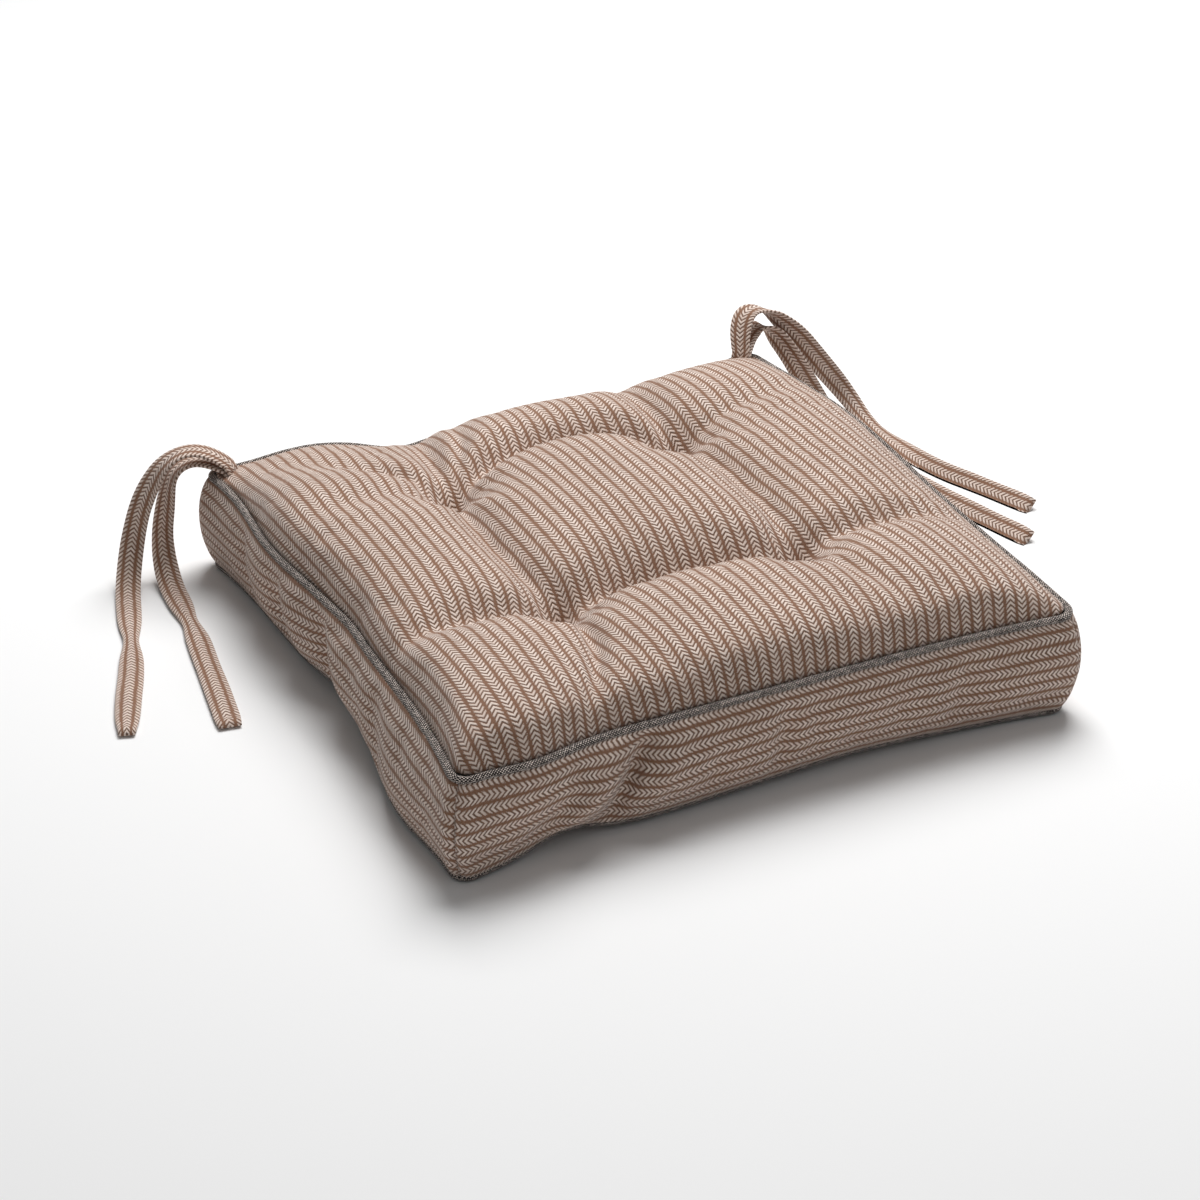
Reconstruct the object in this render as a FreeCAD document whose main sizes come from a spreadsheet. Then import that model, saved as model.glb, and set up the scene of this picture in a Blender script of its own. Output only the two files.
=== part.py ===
# Tufted box seat pad with piped edges and a pair of tie straps at each back corner.
# Frame: origin at the centre of the underside, +Z up, the front edge towards -Y, the tie corners at +Y.
import FreeCAD, Part
import math
import os
import Sketcher
from FreeCAD import Matrix, Placement, Rotation, Vector

doc = FreeCAD.newDocument("seat_pad")

# Driving dimensions in millimetres.
SIZES = [
    ("pad_width", 426.0, "left to right, between the centrelines of the side piping"),
    ("pad_depth", 426.0, "front to back, between the centrelines of the piping"),
    ("boxing_rise", 68.6, "bottom piping centreline to top piping centreline"),
    ("corner_radius", 16.0, "piping centreline in plan, at each corner"),
    ("crown_rise", 24.0, "top seam to the top of the crown"),
    ("fabric_thickness", 1.2, "herringbone cover cloth"),
    ("piping_diameter", 6.0, "outside of the covered piping"),
    ("filler_bore", 4.0, "hole in the piping cover"),
    ("filler_diameter", 3.8, "filler cord inside the piping"),
    ("seam_allowance", 12.0, "piping centreline to the raw edges inside"),
    ("ply_gap", 0.3, "between plies that are sewn together"),
    ("fill_gap", 1.2, "between the fill and the seams, room for the thread"),
    ("tuft_spacing", 170.0, "between tufts, both ways"),
    ("tuft_floor", 60.0, "rest surface to the floor of a tuft well"),
    ("tuft_floor_radius", 7.0, "tuft well at its floor"),
    ("tuft_mouth_radius", 42.0, "tuft well at the top of the crown"),
    ("dimple_depth", 6.0, "underside dimple below each tuft"),
    ("dimple_roof_radius", 5.0, "underside dimple at its roof"),
    ("dimple_mouth_radius", 14.0, "underside dimple at the rest surface"),
    ("twine_diameter", 1.2, "tufting twine"),
    ("twine_span", 6.0, "between the two strands of a tuft"),
    ("knot_diameter", 4.0, "knot under each tuft"),
    ("thread_diameter", 0.8, "sewing thread"),
    ("corner_tab", 9.0, "corner seam allowance of the boxing, along the diagonal"),
    ("tie_width", 17.0, "tie strap across its flat"),
    ("tie_thickness", 3.2, "tie strap through its plies"),
]

sheet = doc.addObject("Spreadsheet::Sheet", "Sizes")
for row, (alias, value, meaning) in enumerate(SIZES, start=1):
    sheet.set(f"A{row}", alias)
    sheet.set(f"B{row}", str(value))
    sheet.set(f"C{row}", meaning)
    sheet.setAlias(f"B{row}", alias)
doc.recompute()


# ---------------------------------------------------------------- levels and insets
# Each is an expression in the sheet's cells. An inset is measured inwards from the piping centreline.
def total(*terms):
    return "(" + " + ".join(str(term) for term in terms) + ")"


def less(first, *others):
    return "(" + str(first) + "".join(f" - {other}" for other in others) + ")"


HALF_WIDTH, HALF_DEPTH = "(Sizes.pad_width / 2)", "(Sizes.pad_depth / 2)"
CORNER = "Sizes.corner_radius"
CLOTH, GAP, FILL_GAP = "Sizes.fabric_thickness", "Sizes.ply_gap", "Sizes.fill_gap"
THREAD = "Sizes.thread_diameter"
ALLOWANCE = "Sizes.seam_allowance"
CROWN_RISE = "Sizes.crown_rise"
PIPE_RADIUS = "(Sizes.piping_diameter / 2)"
BORE_RADIUS = "(Sizes.filler_bore / 2)"
FLANGE = "(Sizes.piping_diameter - Sizes.filler_bore)"
TWINE_RADIUS = "(Sizes.twine_diameter / 2)"
THREAD_RADIUS = "(Sizes.thread_diameter / 2)"
SLACK = 0.05  # between a thread and the cloth that it lies on
HEM_SLOT = total(THREAD, 0.2)
PAST = 1.0  # how far a cutting tool runs past the face that it opens

# The seams, from the rest surface up: sheet, thread slot, hem, gap, piping flange, gap, boxing.
SEAM_STACK = (
    f"max(Sizes.piping_diameter; 2 * {CLOTH} + {HEM_SLOT} + {FLANGE} + 2 * {GAP})"
)
LOW_PIPE = less(SEAM_STACK, PIPE_RADIUS)
HIGH_PIPE = total(LOW_PIPE, "Sizes.boxing_rise")
BOXING_FOOT = SEAM_STACK
BOXING_HEAD = less(HIGH_PIPE, PIPE_RADIUS)
LOW_FLANGE_FOOT = less(SEAM_STACK, GAP, FLANGE)
HEM_HEAD = less(LOW_FLANGE_FOOT, GAP)
HIGH_FLANGE_FOOT = total(BOXING_HEAD, GAP)
PANEL_FOOT = total(HIGH_FLANGE_FOOT, FLANGE, GAP)
PANEL_TOP = total(PANEL_FOOT, CROWN_RISE)
TAB_FOOT = total(BOXING_FOOT, CLOTH, THREAD, 1)
TAB_HEAD = less(BOXING_HEAD, CLOTH, THREAD, 1)

PANEL_INSET = total(PIPE_RADIUS, 0.2)
BOXING_INSET = f"({PIPE_RADIUS} / 2)"
SEAM_INSET = total(PANEL_INSET, CLOTH, THREAD)
BELLY_INSET = total(BOXING_INSET, CLOTH, 0.4)
NECK_INSET = total(ALLOWANCE, 0.5)

# The crown's profile: share of the crown's rise, and inset from the top panel's edge.
CROWN = [(0.08, 0.0), (0.38, 4.0), (0.71, 16.0), (0.92, 42.0), (1.0, 85.0)]
CROWN_SOFTENING = 0.6  # corner radius gained for each millimetre of inset

# Plan corners, counter-clockwise from the back right, each with its outward bearing in degrees.
CORNERS = {
    "back_right": (1, 1, 45),
    "back_left": (-1, 1, 135),
    "front_left": (-1, -1, 225),
    "front_right": (1, -1, 315),
}


# ---------------------------------------------------------------- helpers
def bind(thing, **sizes):
    """Binds properties to expressions; x, y and z are the placement's position."""
    for key, text in sizes.items():
        path = f".Placement.Base.{key}" if key in ("x", "y", "z") else key
        thing.setExpression(path, str(text))
    return thing


def outline(name, inset, level, radius=None):
    """A rounded rectangle, inset from the piping centreline, as a fully constrained sketch."""
    sketch = doc.addObject("Sketcher::SketchObject", name)
    half_x, half_y = less(HALF_WIDTH, inset), less(HALF_DEPTH, inset)
    radius = radius or less(CORNER, inset)
    a, b, r = [float(sheet.evalExpression(text)) for text in (half_x, half_y, radius)]
    sides = [
        (Vector(r - a, -b, 0), Vector(a - r, -b, 0), Vector(a - r, r - b, 0)),
        (Vector(a, r - b, 0), Vector(a, b - r, 0), Vector(a - r, b - r, 0)),
        (Vector(a - r, b, 0), Vector(r - a, b, 0), Vector(r - a, b - r, 0)),
        (Vector(-a, b - r, 0), Vector(-a, r - b, 0), Vector(r - a, r - b, 0)),
    ]
    for number, (start, end, centre) in enumerate(sides):
        sketch.addGeometry(Part.LineSegment(start, end))
        first = (number - 1) * math.pi / 2
        circle = Part.Circle(centre, Vector(0, 0, 1), r)
        sketch.addGeometry(Part.ArcOfCircle(circle, first, first + math.pi / 2))
    rules = [("Tangent", k, 2, (k + 1) % 8, 1) for k in range(8)]
    rules += [("Horizontal", 0), ("Vertical", 2), ("Horizontal", 4), ("Vertical", 6)]
    rules += [("Equal", 1, 3), ("Equal", 3, 5), ("Symmetric", 1, 3, 5, 3, -1, 1)]
    for rule in rules:
        sketch.addConstraint(Sketcher.Constraint(*rule))
    for rule, text in (
        (("DistanceX", -1, 1, 2, 1, a), half_x),
        (("DistanceY", -1, 1, 4, 1, b), half_y),
        (("Radius", 1, r), radius),
    ):
        index = sketch.addConstraint(Sketcher.Constraint(*rule))
        sketch.setExpression(f"Constraints[{index}]", text)
    return bind(sketch, z=level)


def prism(name, inset, foot, head):
    """A rounded rectangular slab between two levels."""
    slab = doc.addObject("Part::Extrusion", name)
    slab.Base = outline(name + "_outline", inset, foot)
    slab.DirMode = "Normal"
    slab.Solid = True
    return bind(slab, LengthFwd=less(head, foot))


def fuse(name, *pieces):
    result = doc.addObject("Part::MultiFuse", name)
    result.Shapes = list(pieces)
    return result


def common(name, *pieces):
    result = doc.addObject("Part::MultiCommon", name)
    result.Shapes = list(pieces)
    return result


def cut(name, base, *tools):
    result = doc.addObject("Part::Cut", name)
    result.Base = base
    result.Tool = fuse(name + "_tools", *tools) if len(tools) > 1 else tools[0]
    return result


def post(name, radius, x, y, foot, head):
    """An upright cylinder between two levels."""
    cylinder = doc.addObject("Part::Cylinder", name)
    return bind(cylinder, Radius=radius, Height=less(head, foot), x=x, y=y, z=foot)


def ball(name, radius, x, y, z):
    return bind(doc.addObject("Part::Sphere", name), Radius=radius, x=x, y=y, z=z)


def rod(name, radius, length, x, y, z, axis):
    """A level cylinder that starts at x, y, z and runs along +X or +Y."""
    turns = {"X": Rotation(Vector(0, 1, 0), 90), "Y": Rotation(Vector(1, 0, 0), -90)}
    cylinder = doc.addObject("Part::Cylinder", name)
    cylinder.Placement = Placement(Vector(), turns[axis])
    return bind(cylinder, Radius=radius, Height=length, x=x, y=y, z=z)


def ring(name, inset, radius, level):
    """A round cord laid along a rounded rectangle: four rods and four quarter tori."""
    bend_x, bend_y = less(HALF_WIDTH, CORNER), less(HALF_DEPTH, CORNER)
    edge_x, edge_y = less(HALF_WIDTH, inset), less(HALF_DEPTH, inset)
    pieces = []
    for sign in (-1, 1):
        across = (f"-{bend_x}", f"{sign} * {edge_y}", level)
        along = (f"{sign} * {edge_x}", f"-{bend_y}", level)
        pieces.append(rod(name + "_across", radius, f"2 * {bend_x}", *across, "X"))
        pieces.append(rod(name + "_along", radius, f"2 * {bend_y}", *along, "Y"))
    for sx, sy, bearing in CORNERS.values():
        torus = doc.addObject("Part::Torus", name + "_corner")
        torus.Placement = Placement(Vector(), Rotation(Vector(0, 0, 1), bearing - 45))
        torus.Angle3 = 90
        place = {"x": f"{sx} * {bend_x}", "y": f"{sy} * {bend_y}", "z": level}
        pieces.append(bind(torus, Radius1=less(CORNER, inset), Radius2=radius, **place))
    return fuse(name, *pieces)


def crown(name, shell, foot, foot_inset, profile):
    """The domed top, drawn in by a shell's thickness, as a ruled loft from a level upwards."""
    sections = [outline(name + "_foot", foot_inset, foot)]
    for share, inset in profile:
        down = shell if inset else 0
        level = less(total(PANEL_FOOT, f"{share} * {CROWN_RISE}"), down)
        drawn_in = total(PANEL_INSET, inset, shell)
        radius = less(total(CORNER, CROWN_SOFTENING * inset), PANEL_INSET, shell)
        sections.append(outline(name + "_section", drawn_in, level, radius))
    loft = doc.addObject("Part::Loft", name)
    loft.Sections = sections
    loft.Solid = True
    loft.Ruled = True
    return loft


def tuft_place(corner):
    sx, sy, _ = CORNERS[corner]
    return f"{sx} * Sizes.tuft_spacing / 2", f"{sy} * Sizes.tuft_spacing / 2"


def cone(name, corner, foot_radius, head_radius, foot, head):
    """An upright cone on a tuft's axis."""
    x, y = tuft_place(corner)
    radii = {"Radius1": foot_radius, "Radius2": head_radius}
    thing = doc.addObject("Part::Cone", name)
    return bind(thing, Height=less(head, foot), x=x, y=y, z=foot, **radii)


def wells(name, grow, drop):
    """The four tuft wells as solid cones, grown sideways and downwards."""
    foot, head = less("Sizes.tuft_floor", drop), total(PANEL_TOP, 5)
    flare = "(Sizes.tuft_mouth_radius - Sizes.tuft_floor_radius)"
    slope = f"{flare} / {less(PANEL_TOP, 'Sizes.tuft_floor')}"
    narrow = total("Sizes.tuft_floor_radius", grow)
    wide = total(narrow, f"{slope} * {less(head, foot)}")
    return fuse(name, *[cone(name + "_cone", c, narrow, wide, foot, head) for c in CORNERS])


def dimples(name, grow, rise, foot):
    """The four underside dimples as solid cones, grown sideways and upwards."""
    head = total("Sizes.dimple_depth", rise)
    flare = "(Sizes.dimple_mouth_radius - Sizes.dimple_roof_radius)"
    narrow = total("Sizes.dimple_roof_radius", grow)
    wide = total(narrow, f"{flare} / Sizes.dimple_depth * {less(head, foot)}")
    return fuse(name, *[cone(name + "_cone", c, wide, narrow, foot, head) for c in CORNERS])


def strand_places():
    """Where the tufting twine goes through the pad."""
    for corner in CORNERS:
        x, y = tuft_place(corner)
        for side in (-1, 1):
            yield f"{x} + {side} * Sizes.twine_span / 2", y


def twine_holes(name):
    radius, head = total(TWINE_RADIUS, 0.15), total(PANEL_TOP, PAST)
    holes = [post(name + "_hole", radius, x, y, -PAST, head) for x, y in strand_places()]
    return fuse(name, *holes)


def corner_spot(corner, out, aside):
    """A point by a corner seam: out from the corner's centre, and aside from its diagonal."""
    sx, sy, bearing = CORNERS[corner]
    c, s = math.cos(math.radians(bearing)), math.sin(math.radians(bearing))
    x = f"{sx} * {less(HALF_WIDTH, CORNER)} + {c:.6f} * {out} - {s:.6f} * {aside}"
    y = f"{sy} * {less(HALF_DEPTH, CORNER)} + {s:.6f} * {out} + {c:.6f} * {aside}"
    return x, y


def diagonal_box(name, corner, start, length, aside, width, foot, head):
    """An upright plate that lies along a corner's diagonal."""
    plate = doc.addObject("Part::Box", name)
    plate.Placement = Placement(Vector(), Rotation(Vector(0, 0, 1), CORNERS[corner][2]))
    x, y = corner_spot(corner, start, aside)
    sizes = {"Length": length, "Width": width, "Height": less(head, foot)}
    return bind(plate, x=x, y=y, z=foot, **sizes)


# ---------------------------------------------------------------- cover panels
def make_top_panel():
    """The crowned top: a domed shell with an inward hem and four conical tuft wells."""
    rim = total(PANEL_INSET, CLOTH)
    dome = crown("top_dome", 0, PANEL_FOOT, PANEL_INSET, CROWN)
    hollow = crown("top_hollow", CLOTH, total(PANEL_FOOT, CLOTH), rim, CROWN)
    opening = prism("top_opening", ALLOWANCE, less(PANEL_FOOT, PAST), total(PANEL_FOOT, CLOTH, PAST))
    reach = crown("top_reach", 0, less("Sizes.tuft_floor", CLOTH, PAST), PANEL_INSET, CROWN)
    cups = common("top_cups", wells("top_cup_cones", f"0.5 * {CLOTH}", CLOTH), reach)
    skin = fuse("top_skin", cut("top_shell", dome, hollow, opening), cups)
    return cut("top_panel", skin, wells("top_wells", 0, 0), twine_holes("top_holes"))


def make_bottom_panel():
    """The flat underside: a sheet with a folded hem and a shallow dimple under each tuft."""
    block = prism("under_block", PANEL_INSET, "0", HEM_HEAD)
    slot = prism("under_slot", total(PANEL_INSET, CLOTH), CLOTH, less(HEM_HEAD, CLOTH))
    opening = prism("under_opening", ALLOWANCE, CLOTH, total(HEM_HEAD, PAST))
    cups = dimples("under_cups", f"0.5 * {CLOTH}", CLOTH, "0")
    skin = fuse("under_skin", cut("under_sheet", block, slot, opening), cups)
    hollows = dimples("under_hollows", 0, 0, -PAST)
    return cut("bottom_panel", skin, hollows, twine_holes("under_holes"))


def make_boxing():
    """Four side panels, each from one corner seam to the next, with hems and corner tabs."""
    band = prism("boxing_band", BOXING_INSET, BOXING_FOOT, BOXING_HEAD)
    inner = total(BOXING_INSET, CLOTH)
    hollow = prism("boxing_hollow", inner, total(BOXING_FOOT, CLOTH), less(BOXING_HEAD, CLOTH))
    opening = prism("boxing_opening", ALLOWANCE, less(BOXING_FOOT, PAST), total(BOXING_HEAD, PAST))
    sleeve = cut("boxing_sleeve", band, hollow, opening)
    ends = {
        "front": ("front_left", "front_right", HALF_WIDTH, HALF_DEPTH, 0),
        "right": ("front_right", "back_right", HALF_DEPTH, HALF_WIDTH, 90),
        "back": ("back_right", "back_left", HALF_WIDTH, HALF_DEPTH, 180),
        "left": ("back_left", "front_left", HALF_DEPTH, HALF_WIDTH, 270),
    }
    tab_start = less(CORNER, inner, "Sizes.corner_tab", -0.5)
    panels = []
    for side, (first, last, half_run, half_span, turn) in ends.items():
        wedge = doc.addObject("Part::Wedge", side + "_wedge")
        wedge.Placement = Placement(Vector(), Rotation(Vector(0, 0, 1), turn))
        beyond, back_off = PAST, f"{GAP} * 0.70711"
        outer, core = less(total(half_run, beyond), back_off), less(half_run, CORNER, back_off)
        bind(wedge, Xmin=f"-{outer}", Xmax=outer, X2min=f"-{core}", X2max=core)
        bind(wedge, Ymin=f"-{total(half_span, beyond)}", Ymax=f"-{less(half_span, CORNER)}")
        bind(wedge, Zmin="0", Z2min="0", Zmax=PANEL_TOP, Z2max=PANEL_TOP)
        tabs = []
        for corner, aside in ((first, f"({GAP} / 2)"), (last, f"(-{GAP} / 2 - {CLOTH})")):
            place = (tab_start, "Sizes.corner_tab", aside, CLOTH, TAB_FOOT, TAB_HEAD)
            tabs.append(diagonal_box(side + "_tab", corner, *place))
        wall = common(side + "_wall", sleeve, wedge)
        panels.append(fuse(side + "_boxing", wall, *tabs))
    return panels


# ---------------------------------------------------------------- piping, fill and threads
def piping_section(name, bearing, x, y):
    """The cover's section, upright, with the sewing flange on its inner side, centred on the filler."""
    texts = (PIPE_RADIUS, BORE_RADIUS, ALLOWANCE, less(PIPE_RADIUS, GAP), less(PIPE_RADIUS, GAP, FLANGE))
    outer, bore, reach, foot, head = [float(sheet.evalExpression(text)) for text in texts]
    foot_x, head_x = -math.sqrt(outer**2 - foot**2), -math.sqrt(outer**2 - head**2)
    sketch = doc.addObject("Sketcher::SketchObject", name)
    rim = Part.Circle(Vector(), Vector(0, 0, 1), outer)
    start, end = math.atan2(-foot, foot_x), math.atan2(-head, head_x)
    sketch.addGeometry(Part.ArcOfCircle(rim, start, end + 2 * math.pi))
    corners = [Vector(head_x, -head), Vector(-reach, -head), Vector(-reach, -foot), Vector(foot_x, -foot)]
    for first, second in zip(corners, corners[1:]):
        sketch.addGeometry(Part.LineSegment(first, second))
    sketch.addGeometry(Part.Circle(Vector(), Vector(0, 0, 1), bore))
    joins = [(0, 3, -1, 1), (4, 3, -1, 1), (0, 2, 1, 1), (1, 2, 2, 1), (2, 2, 3, 1), (3, 2, 0, 1)]
    rules = [("Coincident", *join) for join in joins]
    for rule in [*rules, ("Horizontal", 1), ("Vertical", 2), ("Horizontal", 3)]:
        sketch.addConstraint(Sketcher.Constraint(*rule))
    for rule, text in (
        (("Radius", 0, outer), texts[0]),
        (("Radius", 4, bore), texts[1]),
        (("DistanceX", 2, 1, -1, 1, reach), texts[2]),
        (("DistanceY", 3, 1, -1, 1, foot), texts[3]),
        (("DistanceY", 1, 1, -1, 1, head), texts[4]),
    ):
        index = sketch.addConstraint(Sketcher.Constraint(*rule))
        sketch.setExpression(f"Constraints[{index}]", text)
    turn = Rotation(Vector(0, 0, 1), bearing) * Rotation(Vector(1, 0, 0), 90)
    sketch.Placement = Placement(Vector(), turn)
    face = doc.addObject("Part::Face", name + "_face")
    face.Sources = [bind(sketch, x=x, y=y, z=HIGH_PIPE)]
    return face


def run(name, face, direction, length):
    """A section pushed along a straight side."""
    side = doc.addObject("Part::Extrusion", name)
    side.Base = face
    side.DirMode = "Custom"
    side.Dir = Vector(*direction)
    side.Solid = True
    return bind(side, LengthFwd=length)


def mirrored(name, source, normal):
    """The other half of a piece that is the same on both sides of a plane through the origin."""
    twin = doc.addObject("Part::Mirroring", name)
    twin.Source = source
    twin.Normal = Vector(*normal)
    return twin


def make_piping():
    """Top and bottom piping: a bias cover with its sewing flange, and the filler cord inside it."""
    bend_x, bend_y = less(HALF_WIDTH, CORNER), less(HALF_DEPTH, CORNER)
    right = piping_section("right_piping_section", 0, HALF_WIDTH, "-" + bend_y)
    front = piping_section("front_piping_section", -90, bend_x, "-" + HALF_DEPTH)
    corner = doc.addObject("Part::Revolution", "piping_corner")
    corner.Source = right
    corner.Axis = Vector(0, 0, 1)
    corner.Angle = -90
    corner.setExpression(".Base.x", bend_x)
    corner.setExpression(".Base.y", "-" + bend_y)
    sides = [
        run("right_piping_run", right, (0, 1, 0), bend_y),
        run("front_piping_run", front, (-1, 0, 0), bend_x),
    ]
    quarter = fuse("piping_quarter", corner, *sides)
    half = fuse("piping_half", quarter, mirrored("piping_left_quarter", quarter, (1, 0, 0)))
    top_cover = fuse("top_piping_cover", half, mirrored("piping_back_half", half, (0, 1, 0)))
    bottom_cover = mirrored("bottom_piping_cover", top_cover, (0, 0, 1))
    bottom_cover.setExpression(".Base.z", f"({LOW_PIPE} + {HIGH_PIPE}) / 2")
    filler = "Sizes.filler_diameter / 2"
    cords = [ring("top_piping_cord", 0, filler, HIGH_PIPE)]
    cords.append(ring("bottom_piping_cord", 0, filler, LOW_PIPE))
    return [top_cover, bottom_cover, *cords]


def make_fill():
    """The fibre fill: belly between the boxing hems, neck through the hems, dome under the top."""
    belly_foot, belly_head = total(BOXING_FOOT, CLOTH, FILL_GAP), less(BOXING_HEAD, CLOTH, FILL_GAP)
    dome_foot = total(PANEL_FOOT, CLOTH, FILL_GAP)
    inside = total(CLOTH, 0.4)
    body = fuse(
        "fill_body",
        prism("fill_belly", BELLY_INSET, belly_foot, belly_head),
        prism("fill_neck", NECK_INSET, total(CLOTH, GAP), total(dome_foot, PAST)),
        crown("fill_dome", inside, dome_foot, total(PANEL_INSET, inside, 1.5), CROWN[1:]),
    )
    half_notch = total(f"{GAP} / 2", CLOTH, THREAD, 0.5)
    notch_start = less(CORNER, BOXING_INSET, CLOTH, "Sizes.corner_tab", 1)
    place = (notch_start, CORNER, f"-{half_notch}", f"2 * {half_notch}", "0", PANEL_FOOT)
    notches = [diagonal_box("fill_notch", corner, *place) for corner in CORNERS]
    around_wells = wells("fill_wells", total(f"0.5 * {CLOTH}", 0.3), total(CLOTH, 0.4))
    over_dimples = dimples("fill_dimples", total(f"0.5 * {CLOTH}", 0.3), total(CLOTH, 0.4), "0")
    return cut("fibre_fill", body, around_wells, over_dimples, twine_holes("fill_holes"), *notches)


def make_tuft_twines():
    """A loop of twine through each tuft, with its knot under the pad."""
    high = total("Sizes.tuft_floor", TWINE_RADIUS, SLACK)
    low = less("Sizes.dimple_depth", TWINE_RADIUS, SLACK)
    knot = less("Sizes.dimple_depth", "Sizes.knot_diameter / 2", SLACK)
    twines = []
    for corner in CORNERS:
        name = "tuft_twine_" + corner
        x, y = tuft_place(corner)
        left, right = [f"{x} + {side} * Sizes.twine_span / 2" for side in (-1, 1)]
        pieces = [post(name + "_strand", TWINE_RADIUS, at, y, low, high) for at in (left, right)]
        for level in (low, high):
            span = ("Sizes.twine_span", left, y, level, "X")
            pieces.append(rod(name + "_bridge", TWINE_RADIUS, *span))
            pieces += [ball(name + "_turn", TWINE_RADIUS, at, y, level) for at in (left, right)]
        pieces.append(ball(name + "_knot", "Sizes.knot_diameter / 2", x, y, knot))
        twines.append(fuse(name, *pieces))
    return twines


def make_seam_threads():
    """Needle and bobbin threads on the two faces of each ring seam and corner seam."""
    lift = total(THREAD_RADIUS, SLACK)
    seams = {
        "top": (total(PANEL_FOOT, CLOTH, lift), less(BOXING_HEAD, CLOTH, lift)),
        "bottom": (total(CLOTH, f"{HEM_SLOT} / 2"), total(BOXING_FOOT, CLOTH, lift)),
    }
    threads = []
    for name, levels in seams.items():
        lines = [ring(name + "_line", SEAM_INSET, THREAD_RADIUS, level) for level in levels]
        threads.append(fuse(name + "_seam_thread", *lines))
    out, aside = less(CORNER, BOXING_INSET, CLOTH, 3), total(f"{GAP} / 2", CLOTH, lift)
    for corner in CORNERS:
        posts = []
        for sign in (1, -1):
            x, y = corner_spot(corner, out, f"{sign} * {aside}")
            posts.append(post(corner + "_line", THREAD_RADIUS, x, y, TAB_FOOT, TAB_HEAD))
        threads.append(fuse("corner_thread_" + corner, *posts))
    return threads


# ---------------------------------------------------------------- tie straps
# Each route runs from the top seam at its back corner to the strap's free end on the rest surface.
# A point is x, y, z and the plan bearing of the strap's level width there, in degrees from +X.
ROUTES = {
    "tie_left_outer": [
        (-200.5, 200.5, 81, 225),
        (-214, 206, 94, 240),
        (-240, 209, 93, 270),
        (-258, 216, 62, 305),
        (-267, 219, 30, 328),
        (-279, 201, 3, 336),
        (-291, 160, 2.2, 343),
        (-300, 128, 2.2, 343),
        (-312, 92, 2.2, 340),
        (-325, 60, 2.2, 340),
        (-337, 25, 2.2, 341),
    ],
    "tie_left_inner": [
        (-201, 201, 76.6, 225),
        (-214, 212, 84, 235),
        (-235, 217, 78, 265),
        (-241, 221, 50, 295),
        (-247, 218, 24, 315),
        (-251, 196, 3, 345),
        (-254, 155, 2.2, 355),
        (-257, 121, 2.2, 354),
        (-263, 84, 2.2, 351),
        (-268, 48, 2.2, 352),
        (-275, 5, 2.2, 351),
    ],
    "tie_right_outer": [
        (199.5, 200.5, 81, 140),
        (204, 214, 101, 130),
        (224, 220, 107, 95),
        (248, 206, 86, 75),
        (270, 205, 56, 80),
        (294, 207, 26, 60),
        (305, 186, 3, 10),
        (307, 141, 2.2, 5),
        (313, 101, 2.2, 14),
        (329, 62, 2.2, 20),
        (343, 22, 2.2, 19),
    ],
    "tie_right_inner": [
        (201, 201, 76.6, 140),
        (213, 219, 87, 125),
        (230, 216, 91, 95),
        (243, 199, 68, 70),
        (261, 201, 36, 80),
        (278, 190, 4, 50),
        (283, 146, 2.2, 5),
        (286, 103, 2.2, 7),
        (294, 60, 2.2, 12),
        (304, 22, 2.2, 15),
        (315, -17, 2.2, 16),
    ],
}
SIDE_STEP = 20.0  # from a route to the line beside it that keeps the strap's width turned


def rounded_route(points):
    """Straight runs joined by tangent arcs, each as large as its two runs allow, and the radii."""
    edges, radii = [], []
    reached = points[0]
    for before, corner, after in zip(points, points[1:], points[2:]):
        arriving, leaving = corner - before, after - corner
        half_turn = arriving.getAngle(leaving) / 2
        trim = 0.45 * min(arriving.Length, leaving.Length)
        radius = trim / math.tan(half_turn)
        arriving.normalize()
        leaving.normalize()
        inward = (leaving - arriving).normalize()
        start, end = corner - arriving * trim, corner + leaving * trim
        middle = corner + inward * (radius / math.cos(half_turn) - radius)
        edges.append(Part.LineSegment(reached, start).toShape())
        edges.append(Part.Arc(start, middle, end).toShape())
        radii.append(radius)
        reached = end
    edges.append(Part.LineSegment(reached, points[-1]).toShape())
    return Part.Wire(edges), radii


def width_directions(points, bearings):
    """The strap's width at each point: level as far as the route allows, and square to the route."""
    directions = []
    for number, bearing in enumerate(bearings):
        before, after = points[max(number - 1, 0)], points[min(number + 1, len(points) - 1)]
        along = (after - before).normalize()
        level = Vector(math.cos(math.radians(bearing)), math.sin(math.radians(bearing)), 0)
        directions.append((level - along * level.dot(along)).normalize())
    return directions


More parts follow.
